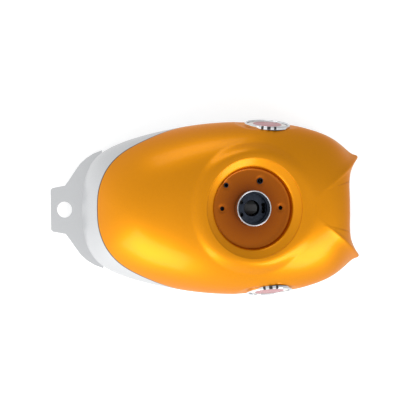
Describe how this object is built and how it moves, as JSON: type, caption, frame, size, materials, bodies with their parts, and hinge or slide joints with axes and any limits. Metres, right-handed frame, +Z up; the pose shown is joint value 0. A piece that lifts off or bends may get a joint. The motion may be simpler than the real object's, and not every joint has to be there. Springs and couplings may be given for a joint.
{
  "type": "motorcycle fuel tank",
  "caption": "Saddle fuel tank of pressed steel over a frame tunnel, with a sunk leaning filler, side badges, an in-tank pump and a swinging level float.",
  "frame": {"origin": "middle of the footprint, on the surface the tank stands on", "axes": "+X towards the steering head, +Y to the rider's left, +Z up"},
  "size_m": [0.456, 0.2538, 0.1856],
  "materials": {
    "orange_paint": "gloss metallic orange over silver, with a thin dark pinstripe between",
    "silver_paint": "gloss metallic silver",
    "zinc_plate": "bright zinc plating",
    "dark_steel": "dark phosphated steel",
    "black_rubber": "matte",
    "chrome_trim": "polished chrome",
    "badge_enamel": "red and white enamel rings under clear resin",
    "black_plastic": "moulded acetal, fine grain",
    "strainer_mesh": "fine woven nylon",
    "pin_brass": "tinned brass",
    "resistor_card": "printed ceramic"
  },
  "bodies": {
    "tank": {"outer_skin": "orange_paint", "bottom_pan": "silver_paint", "filler_cup": "orange_paint", "filler_neck": "zinc_plate", "nozzle_restrictor": "dark_steel", "cap_screw_bosses": "dark_steel", "drain_tube": "dark_steel", "breather_tube": "dark_steel", "rear_bracket": "silver_paint", "front_mount_left": "silver_paint", "front_mount_right": "silver_paint", "left_badge_pad": "black_rubber", "left_badge_bezel": "chrome_trim", "left_badge_disc": "badge_enamel", "right_badge_pad": "black_rubber", "right_badge_bezel": "chrome_trim", "right_badge_disc": "badge_enamel", "pump_weld_ring": "zinc_plate", "pump_seal": "black_rubber", "pump_flange": "black_plastic", "pump_retainer": "zinc_plate", "pump_nuts": "zinc_plate", "pump_canister": "black_plastic", "pump_end_cap": "black_plastic", "suction_strainer": "strainer_mesh", "pressure_regulator": "zinc_plate", "fuel_outlet": "zinc_plate", "wire_connector": "black_plastic", "connector_pins": "pin_brass", "sender_bracket": "zinc_plate", "sender_card": "resistor_card"},
    "float": {"float_arm": "zinc_plate", "fuel_float": "black_rubber"}
  },
  "joints": [
    {"name": "float_swing", "type": "hinge", "parent": "tank", "child": "float", "pos_m": [-0.008, -0.071, 0.061], "axis": [0, 1, 0], "range_deg": [0, 60]}
  ]
}
